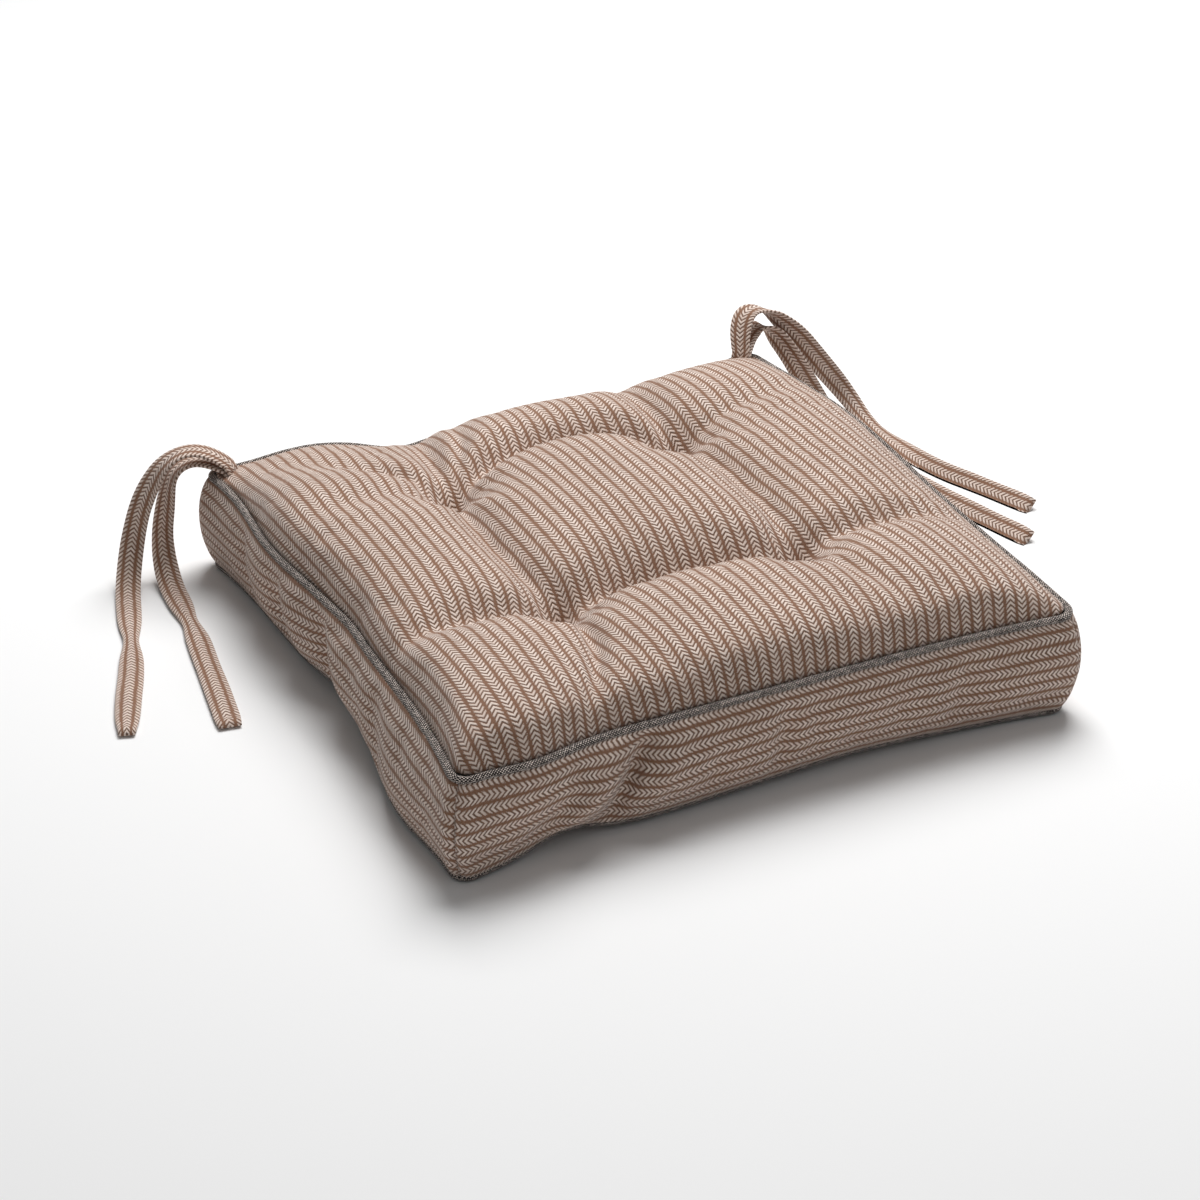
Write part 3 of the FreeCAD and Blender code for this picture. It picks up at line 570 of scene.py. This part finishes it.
def tube(name, line, radius, around, closed=True, wobble=0.0, join=-1.0):
    """A round tube along a line; its cloth runs around it and along it. A closed one lies level. join is
    how far along it the two ends of its cover meet, if they show."""
    count = len(line)
    if closed:
        ahead = unit(np.roll(line, -1, 0) - np.roll(line, 1, 0))
        travelled = distance_along(np.vstack([line, line[:1]]))
    else:
        ahead = unit(np.gradient(line, axis=0))
        travelled = distance_along(line)
    side = unit(np.cross(ahead, [0, 0, 1] if closed else [1, 0, 0]))
    over = np.cross(side, ahead)
    turn = np.linspace(0, 2 * np.pi, around, endpoint=False)
    place = travelled[:count]
    size = radius * (1 + wobble * ripple(place, np.zeros(count), 0.03, 5))
    swelling = 0.14 * hump(place, join - 0.005, 0.004)
    dent = 0.30 * hump(place, join, 0.0022)
    size *= 1 + swelling - dent
    ring = np.cos(turn)[None, :, None] * side[:, None] + np.sin(turn)[None, :, None] * over[:, None]
    vertices = (line[:, None] + ring * size[:, None, None]).reshape(-1, 3)
    girth = 2 * np.pi * radius
    fabric = []
    for near, far in zip(travelled, travelled[1:]):
        for spoke in range(around):
            low, high = spoke / around * girth, (spoke + 1) / around * girth
            fabric += [(low, near), (high, near), (high, far), (low, far)]
    if not closed:
        fabric += [(0, 0)] * (2 * around)
    piece = new_object(name, vertices, ring_faces(count, around, closed))
    layer = piece.data.uv_layers.new(name="cloth")
    layer.data.foreach_set("uv", np.array(fabric, np.float32).ravel())
    return piece


def spline_line(points):
    """Points along the smooth curve that has these control points."""
    curve = bpy.data.curves.new("route", "CURVE")
    curve.dimensions = "3D"
    curve.resolution_u = 14
    spline = curve.splines.new("NURBS")
    spline.points.add(len(points) - 1)
    for knot, place in zip(spline.points, points):
        knot.co = (*place, 1)
    spline.order_u = 3
    spline.use_endpoint_u = True
    holder = bpy.data.objects.new("route", curve)
    scene.collection.objects.link(holder)
    bpy.context.view_layer.update()
    shown = holder.evaluated_get(bpy.context.evaluated_depsgraph_get())
    mesh = bpy.data.meshes.new_from_object(shown)
    line = np.array([v.co for v in mesh.vertices])
    bpy.data.objects.remove(holder)
    return line


# Ties: the route's control points from the root to the free end, each with the bearing in degrees of
# the strap's width; pinches as (share of the length, reach, share of the width that is left); and how far
# the strap leans on its near edge where it lies on the floor, in degrees.
TIES = {
    "tie_left_outer": (
        [
            (-0.2005, 0.2005, 0.0810, 225),
            (-0.2140, 0.2060, 0.0940, 240),
            (-0.2400, 0.2090, 0.0930, 270),
            (-0.2580, 0.2160, 0.0620, 305),
            (-0.2670, 0.2190, 0.0300, 328),
            (-0.2790, 0.2010, 0.0030, 336),
            (-0.2910, 0.1600, 0.0022, 343),
            (-0.3000, 0.1280, 0.0022, 343),
            (-0.3120, 0.0920, 0.0022, 340),
            (-0.3250, 0.0600, 0.0022, 340),
            (-0.3370, 0.0250, 0.0022, 341),
        ],
        [(0.0, 0.06, 0.75), (0.66, 0.05, 0.62), (1.0, 0.05, 0.72)],
        0,
    ),
    "tie_left_inner": (
        [
            (-0.2010, 0.2010, 0.0766, 225),
            (-0.2140, 0.2120, 0.0840, 235),
            (-0.2350, 0.2170, 0.0780, 265),
            (-0.2410, 0.2210, 0.0500, 295),
            (-0.2470, 0.2180, 0.0240, 315),
            (-0.2510, 0.1960, 0.0030, 345),
            (-0.2540, 0.1550, 0.0022, 355),
            (-0.2570, 0.1210, 0.0022, 354),
            (-0.2630, 0.0840, 0.0022, 351),
            (-0.2680, 0.0480, 0.0022, 352),
            (-0.2750, 0.0050, 0.0022, 351),
        ],
        [(0.0, 0.06, 0.75), (0.58, 0.05, 0.68)],
        0,
    ),
    "tie_right_outer": (
        [
            (0.1995, 0.2005, 0.0810, 140),
            (0.2040, 0.2140, 0.1010, 130),
            (0.2240, 0.2200, 0.1070, 108),
            (0.2480, 0.2060, 0.0860, 150),
            (0.2700, 0.2050, 0.0560, 178),
            (0.2940, 0.2070, 0.0260, 184),
            (0.3050, 0.1860, 0.0030, 186),
            (0.3070, 0.1410, 0.0022, 186),
            (0.3130, 0.1010, 0.0022, 194),
            (0.3290, 0.0620, 0.0022, 200),
            (0.3430, 0.0220, 0.0022, 199),
        ],
        [(0.0, 0.06, 0.75), (0.55, 0.06, 0.8)],
        40,
    ),
    "tie_right_inner": (
        [
            (0.2010, 0.2010, 0.0766, 140),
            (0.2130, 0.2190, 0.0870, 130),
            (0.2300, 0.2160, 0.0910, 118),
            (0.2430, 0.1990, 0.0680, 142),
            (0.2610, 0.2010, 0.0360, 172),
            (0.2780, 0.1900, 0.0040, 184),
            (0.2830, 0.1460, 0.0022, 185),
            (0.2860, 0.1030, 0.0022, 187),
            (0.2940, 0.0600, 0.0022, 192),
            (0.3040, 0.0220, 0.0022, 195),
            (0.3150, -0.0170, 0.0022, 196),
        ],
        [(0.0, 0.06, 0.75), (0.52, 0.06, 0.8)],
        40,
    ),
}


def strap_directions(line, bearing, tilt):
    """The directions across a strap and out of its face, along its route."""
    ahead = unit(np.gradient(line, axis=0))
    across = np.stack([np.cos(bearing), np.sin(bearing), np.zeros(len(line))], axis=1)
    across = unit(across - ahead * np.sum(across * ahead, axis=1, keepdims=True))
    face = np.cross(ahead, across)
    tilted = across * np.cos(tilt) + face * np.sin(tilt)
    return tilted, face * np.cos(tilt) - across * np.sin(tilt)


def strap_section(name, travelled, pinches):
    """Half a strap's width and thickness along it: pinched, a little uneven, and hemmed at the free end."""
    length = travelled[-1]
    share = travelled / length
    wide = np.full(len(travelled), TIE_WIDTH / 2)
    thick = np.full(len(travelled), TIE_THICKNESS / 2)
    for place, reach, left in pinches:
        near = hump(share, place, reach)
        wide *= 1 - (1 - left) * near
        thick *= 1 + 0.5 * (1 - left) * near
    hem = smooth(travelled, length - 0.011, length - 0.007)
    stitched = hump(travelled, length - 0.011, 0.0015)
    thick *= 1 + 0.55 * hem - 0.40 * stitched
    wide *= 1 - 0.06 * hem
    end = np.clip((length - travelled) / 0.0016, 0, 1)
    taper = np.sqrt(1 - (1 - end) ** 2) * 0.8 + 0.2
    thick *= taper
    wide *= 0.9 + 0.1 * taper
    wide *= 1 + 0.03 * ripple(travelled, np.zeros(len(travelled)), 0.06, len(name))
    return wide, thick


def strap(name, stops, pinches, lean):
    """A flat strap of folded cloth, and the centreline and length of what shows of it. Its root starts
    inside the corner of the pad, a little below and behind its first stop."""
    route = spline_line([stop[:3] for stop in stops])
    last = len(stops) - 2
    knots = [0] + [number + 0.5 for number in range(last)] + [last]
    stages = np.linspace(0, last, len(route))
    bearing = np.radians(np.interp(stages, knots, [stop[3] for stop in stops]))
    sewn_in = route[0] - np.array([*(0.004 * np.sign(route[0, :2])), 0.008])
    line = np.vstack([sewn_in, route])
    bearing = np.append(bearing[0], bearing)
    travelled = distance_along(line)
    tilt = math.radians(lean) * smooth(travelled / travelled[-1], 0.55, 0.75)[:, None]
    across, face = strap_directions(line, bearing, tilt)
    wide, thick = strap_section(name, travelled, pinches)
    around = 28
    turn = np.linspace(0, 2 * np.pi, around, endpoint=False)
    square = 2 / 3.2
    flat = np.sign(np.cos(turn)) * np.abs(np.cos(turn)) ** square
    proud = np.sign(np.sin(turn)) * np.abs(np.sin(turn)) ** square
    seam_dent = 1 - 0.25 * hump(flat, 0.72, 0.07) * (proud > 0)
    vertices = (
        line[:, None]
        + across[:, None] * (flat[None, :, None] * wide[:, None, None])
        + face[:, None] * (proud * seam_dent)[None, :, None] * thick[:, None, None]
    )
    vertices[:, :, 2] = np.maximum(vertices[:, :, 2], 0.0003)
    count = len(line)
    cloth_across = np.broadcast_to(flat * TIE_WIDTH / 2 + RIB / 2, (count, around)).ravel()
    fabric = np.stack([cloth_across, np.repeat(travelled, around)], axis=1)
    faces = ring_faces(count, around, False)
    piece = new_object(name + "_strap", vertices.reshape(-1, 3), faces, fabric)
    return piece, route, travelled[-1] - travelled[1]


# ---------------------------------------------------------------- materials
class Nodes:
    """A material's node tree, with short calls for the nodes that the cloths share."""

    def __init__(self, name):
        self.material = bpy.data.materials.new(name)
        self.material.use_nodes = True
        self.tree = self.material.node_tree
        self.shader = self.tree.nodes["Principled BSDF"]

    def add(self, kind, **settings):
        node = self.tree.nodes.new(kind)
        for key, value in settings.items():
            setattr(node, key, value)
        return node

    def put(self, value, socket):
        if isinstance(value, bpy.types.NodeSocket):
            self.tree.links.new(value, socket)
        else:
            socket.default_value = value

    def math(self, operation, *values):
        node = self.add("ShaderNodeMath", operation=operation)
        for value, socket in zip(values, node.inputs):
            self.put(value, socket)
        return node.outputs[0]

    def step(self, value, start, end):
        """0 before start, 1 after end, smooth between; start may be the larger."""
        node = self.add("ShaderNodeMapRange", interpolation_type="SMOOTHSTEP")
        self.put(value, node.inputs["Value"])
        self.put(start, node.inputs["From Min"])
        self.put(end, node.inputs["From Max"])
        return node.outputs["Result"]

    def mix(self, share, first, second, blend="MIX"):
        node = self.add("ShaderNodeMix", data_type="RGBA", blend_type=blend)
        self.put(share, node.inputs[0])
        self.put(first, node.inputs[6])
        self.put(second, node.inputs[7])
        return node.outputs[2]

    def noise(self, vector, scale, detail=2.0):
        node = self.add("ShaderNodeTexNoise")
        self.put(vector, node.inputs["Vector"])
        self.put(scale, node.inputs["Scale"])
        self.put(detail, node.inputs["Detail"])
        return node.outputs["Fac"]

    def cloth(self):
        """Place on the fabric, across and along its ribs, in metres."""
        place = self.add("ShaderNodeUVMap", uv_map="cloth").outputs[0]
        split = self.add("ShaderNodeSeparateXYZ")
        self.put(place, split.inputs[0])
        return place, split.outputs[0], split.outputs[1]

    def solid(self):
        """Place on the object itself, in metres."""
        return self.add("ShaderNodeTexCoord").outputs["Object"]

    def bump(self, height, depth, strength):
        node = self.add("ShaderNodeBump")
        node.inputs["Distance"].default_value = depth
        node.inputs["Strength"].default_value = strength
        self.put(height, node.inputs["Height"])
        self.put(node.outputs[0], self.shader.inputs["Normal"])

    def finish(self, base, roughness, sheen=0.0, sheen_roughness=0.5, specular=0.25):
        self.put(base, self.shader.inputs["Base Color"])
        self.put(roughness, self.shader.inputs["Roughness"])
        self.shader.inputs["Sheen Weight"].default_value = sheen
        self.shader.inputs["Sheen Roughness"].default_value = sheen_roughness
        self.shader.inputs["Specular IOR Level"].default_value = specular
        return self.material


def colour(red, green, blue):
    """A display colour, 0 to 255, as the shader's linear values."""
    return tuple((level / 255) ** 2.2 for level in (red, green, blue)) + (1.0,)


def herringbone():
    """Brushed woollen cloth: ribs of pale chevrons that turn about from rib to rib, on taupe made darker
    with painted shade between the yarns, and brown lines between the ribs."""
    n = Nodes("herringbone")
    place, across, along = n.cloth()
    solid = n.solid()
    waver = n.math("SUBTRACT", n.noise(place, 140.0), 0.5)
    ribs = n.math("ADD", n.math("DIVIDE", across, RIB), n.math("MULTIPLY", waver, 0.10))
    number = n.math("FLOOR", ribs)
    side = n.math("MULTIPLY", n.math("ABSOLUTE", n.math("SUBTRACT", n.math("FRACT", ribs), 0.5)), 2.0)
    turned = n.math("SUBTRACT", n.math("MULTIPLY", n.math("FLOORED_MODULO", number, 2.0), 2.0), 1.0)
    slant = n.math("MULTIPLY", n.math("MULTIPLY", side, turned), 1.15)
    rows = n.math("ADD", n.math("DIVIDE", along, CHEVRON), slant)
    rows = n.math("ADD", rows, n.math("MULTIPLY", waver, 0.35))
    yarn = n.math("MULTIPLY", n.math("ABSOLUTE", n.math("SUBTRACT", n.math("FRACT", rows), 0.5)), 2.0)
    fuzz = n.noise(solid, 1500.0, 4.0)
    rough_yarn = n.math("ADD", yarn, n.math("MULTIPLY", n.math("SUBTRACT", fuzz, 0.5), 0.9))
    pale = n.step(rough_yarn, 0.78, 0.32)
    edge = n.math("ADD", side, n.math("MULTIPLY", n.math("SUBTRACT", fuzz, 0.5), 0.75))
    edge = n.math("SUBTRACT", edge, n.math("MULTIPLY", pale, 0.12))
    line = n.step(edge, 0.46, 0.74)
    cell = n.add("ShaderNodeCombineXYZ")
    n.put(number, cell.inputs[0])
    n.put(n.math("FLOOR", rows), cell.inputs[1])
    speckle = n.add("ShaderNodeTexWhiteNoise", noise_dimensions="2D")
    n.put(cell.outputs[0], speckle.inputs["Vector"])
    # The dark colour between the chevrons is partly the taupe cloth and partly painted shade between the
    # yarns.
    chevrons = n.mix(pale, colour(112, 86, 70), colour(228, 211, 200))
    tone = n.math("MULTIPLY", n.math("SUBTRACT", speckle.outputs["Value"], 0.5), 0.30)
    chevrons = n.mix(n.math("ADD", 0.15, tone), chevrons, colour(176, 147, 130))
    brown = n.mix(n.noise(place, 900.0), colour(110, 79, 61), colour(151, 117, 97))
    cloth = n.mix(line, chevrons, brown)
    patches = n.math("ADD", 0.90, n.math("MULTIPLY", n.noise(solid, 14.0), 0.20))
    fibres = n.math("ADD", 0.80, n.math("MULTIPLY", fuzz, 0.40))
    shade = n.add("ShaderNodeCombineColor")
    level = n.math("MULTIPLY", patches, fibres)
    for socket in shade.inputs[:3]:
        n.put(level, socket)
    cloth = n.mix(1.0, cloth, shade.outputs[0], "MULTIPLY")
    round_yarn = n.math("SUBTRACT", 1.0, n.math("MULTIPLY", yarn, yarn))
    weave = n.math("MULTIPLY", round_yarn, n.math("SUBTRACT", 1.0, line))
    height = n.math("ADD", n.math("MULTIPLY", weave, 0.8), n.math("MULTIPLY", line, 0.25))
    height = n.math("ADD", height, n.math("MULTIPLY", fuzz, 0.5))
    n.bump(height, 0.0007, 0.7)
    return n.finish(cloth, 0.95, sheen=0.25, sheen_roughness=0.45, specular=0.1)


def tweed():
    """Fine two-colour twill cut on the bias, black and off-white."""
    n = Nodes("piping_tweed")
    place, around, along = n.cloth()
    pitch = 0.0019
    waver = n.math("MULTIPLY", n.noise(place, 700.0), 0.5)
    one = n.math("ADD", n.math("DIVIDE", n.math("ADD", around, along), pitch), waver)
    other = n.math("ADD", n.math("DIVIDE", n.math("SUBTRACT", around, along), pitch), waver)
    fuzz = n.noise(n.solid(), 3000.0)
    one_wave = n.math("SINE", n.math("MULTIPLY", one, 2 * math.pi))
    other_wave = n.math("SINE", n.math("MULTIPLY", other, 2 * math.pi))
    waves = n.math("ADD", one_wave, other_wave)
    cell = n.add("ShaderNodeCombineXYZ")
    n.put(n.math("FLOOR", one), cell.inputs[0])
    n.put(n.math("FLOOR", other), cell.inputs[1])
    speckle = n.add("ShaderNodeTexWhiteNoise", noise_dimensions="2D")
    n.put(cell.outputs[0], speckle.inputs["Vector"])
    mixed = n.math("ADD", waves, n.math("MULTIPLY", n.math("SUBTRACT", speckle.outputs["Value"], 0.5), 1.2))
    pale = n.step(n.math("ADD", mixed, n.math("MULTIPLY", fuzz, 0.4)), 0.75, 1.15)
    cloth = n.mix(pale, colour(36, 29, 27), colour(236, 222, 212))
    n.bump(n.math("ADD", waves, fuzz), 0.0002, 0.7)
    return n.finish(cloth, 0.9, sheen=0.15, specular=0.15)


def fibre():
    """White polyester batting."""
    n = Nodes("fibre")
    tufted = n.noise(n.solid(), 260.0, 6.0)
    n.bump(tufted, 0.002, 0.8)
    return n.finish(n.mix(tufted, colour(214, 212, 206), colour(250, 249, 246)), 0.95, sheen=0.2)


def twisted(name, dark, pale, pitch):
    """Twisted cord or thread, banded on the slant."""
    n = Nodes(name)
    place = n.add("ShaderNodeSeparateXYZ")
    n.put(n.solid(), place.inputs[0])
    run = n.math("ADD", place.outputs[0], place.outputs[1])
    run = n.math("ADD", run, n.math("MULTIPLY", place.outputs[2], 1.6))
    bands = n.math("SINE", n.math("MULTIPLY", run, 2 * math.pi / pitch))
    fuzz = n.noise(n.solid(), 1500.0)
    share = n.step(n.math("ADD", bands, fuzz), -0.6, 1.2)
    n.bump(n.math("ADD", bands, fuzz), pitch / 8, 0.6)
    return n.finish(n.mix(share, dark, pale), 0.8, sheen=0.1)


HERRINGBONE = herringbone()
TWEED = tweed()
FIBRE = fibre()
FILLER = twisted("filler_cord", colour(176, 168, 150), colour(232, 226, 212), 0.003)
TWINE = twisted("twine", colour(104, 78, 60), colour(170, 138, 114), 0.0012)
THREAD = twisted("thread", colour(120, 92, 74), colour(182, 152, 130), 0.0008)

# ---------------------------------------------------------------- camera
CAMERA_AZIMUTH, CAMERA_ELEVATION = math.radians(-26.3), math.radians(30.5)
CAMERA_AIM = Vector((-0.025, -0.019, 0.043))
CAMERA_DISTANCE = 1.856
camera = bpy.data.objects.new("camera", bpy.data.cameras.new("camera"))
scene.collection.objects.link(camera)
camera.data.lens = 85
camera.data.sensor_width = 36
back = Vector(
    (
        math.sin(CAMERA_AZIMUTH) * math.cos(CAMERA_ELEVATION),
        -math.cos(CAMERA_AZIMUTH) * math.cos(CAMERA_ELEVATION),
        math.sin(CAMERA_ELEVATION),
    )
)
camera.location = CAMERA_AIM + back * CAMERA_DISTANCE
camera.rotation_mode = "QUATERNION"
camera.rotation_quaternion = (-back).to_track_quat("-Z", "Y")
scene.camera = camera

# ---------------------------------------------------------------- the ties
for name, (stops, pinches, lean) in TIES.items():
    tie, centreline, length = strap(name, stops, pinches, lean)
    finish_piece(tie, HERRINGBONE, name)

# ---------------------------------------------------------------- the pad
top = finish_piece(top_panel(), HERRINGBONE, "top_panel")
for side in SIDES:
    panel = finish_piece(boxing_panel(side), HERRINGBONE, side + "_boxing")
bottom = finish_piece(bottom_panel(), HERRINGBONE, "bottom_panel")

for level, seam in (("top", HIGH), ("bottom", LOW)):
    cover = tube(
        level + "_piping_tweed",
        seam_line(seam, -0.0004),
        PIPING_SHOWN * PIPE_RADIUS,
        20,
        wobble=0.04,
        join=PIPING_JOIN,
    )
    finish_piece(cover, TWEED, level + "_piping_cover")
    filler = tube(level + "_piping_filler", seam_line(seam), FILLER_RADIUS, 10)
    finish_piece(filler, FILLER, level + "_piping_cord")

# The twine in the tufts keeps its CAD shape.
for name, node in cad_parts.items():
    if name.startswith("tuft_twine"):
        node.data.materials.clear()
        node.data.materials.append(TWINE)


stuffing = finish_piece(batting(), FIBRE, "fibre_fill")

for level, height in (("top", HIGH - 0.001), ("bottom", LOW + 0.001)):
    stitches = tube(level + "_seam_stitches", seam_line(height, STITCH_INSET), THREAD_RADIUS, 6)
    finish_piece(stitches, THREAD, level + "_seam_thread")

for corner, (across, ahead) in {
    "back_right": (1, 1),
    "back_left": (-1, 1),
    "front_left": (-1, -1),
    "front_right": (1, -1),
}.items():
    reach = HALF - CORNER + (CORNER - 0.006) / math.sqrt(2)
    rise = np.linspace(LOW + 0.006, HIGH - 0.006, 30)
    places = np.stack([np.full(30, across * reach), np.full(30, ahead * reach), rise], axis=1)
    stitches = tube("corner_stitches_" + corner, warp(places), THREAD_RADIUS, 6, closed=False)
    finish_piece(stitches, THREAD, "corner_thread_" + corner)

# ---------------------------------------------------------------- floor and light
floor = new_object("floor", [(-6, -6, 0), (6, -6, 0), (6, 6, 0), (-6, 6, 0)], [(0, 1, 2, 3)])
paper = Nodes("floor_paper")
floor.data.materials.append(paper.finish((0.84, 0.84, 0.84, 1), 0.9, specular=0.0))

world = bpy.data.worlds.new("studio")
world.use_nodes = True
world.node_tree.nodes["Background"].inputs["Color"].default_value = (1, 1, 1, 1)
world.node_tree.nodes["Background"].inputs["Strength"].default_value = 0.19
scene.world = world


softbox("key", (0.60, 0.80, 2.0), (0, 0, 0.05), 1.4, 66)
softbox("fill", (0.3, -1.6, 1.8), (0, 0, 0.05), 1.6, 3)
scene.view_settings.view_transform = "Standard"
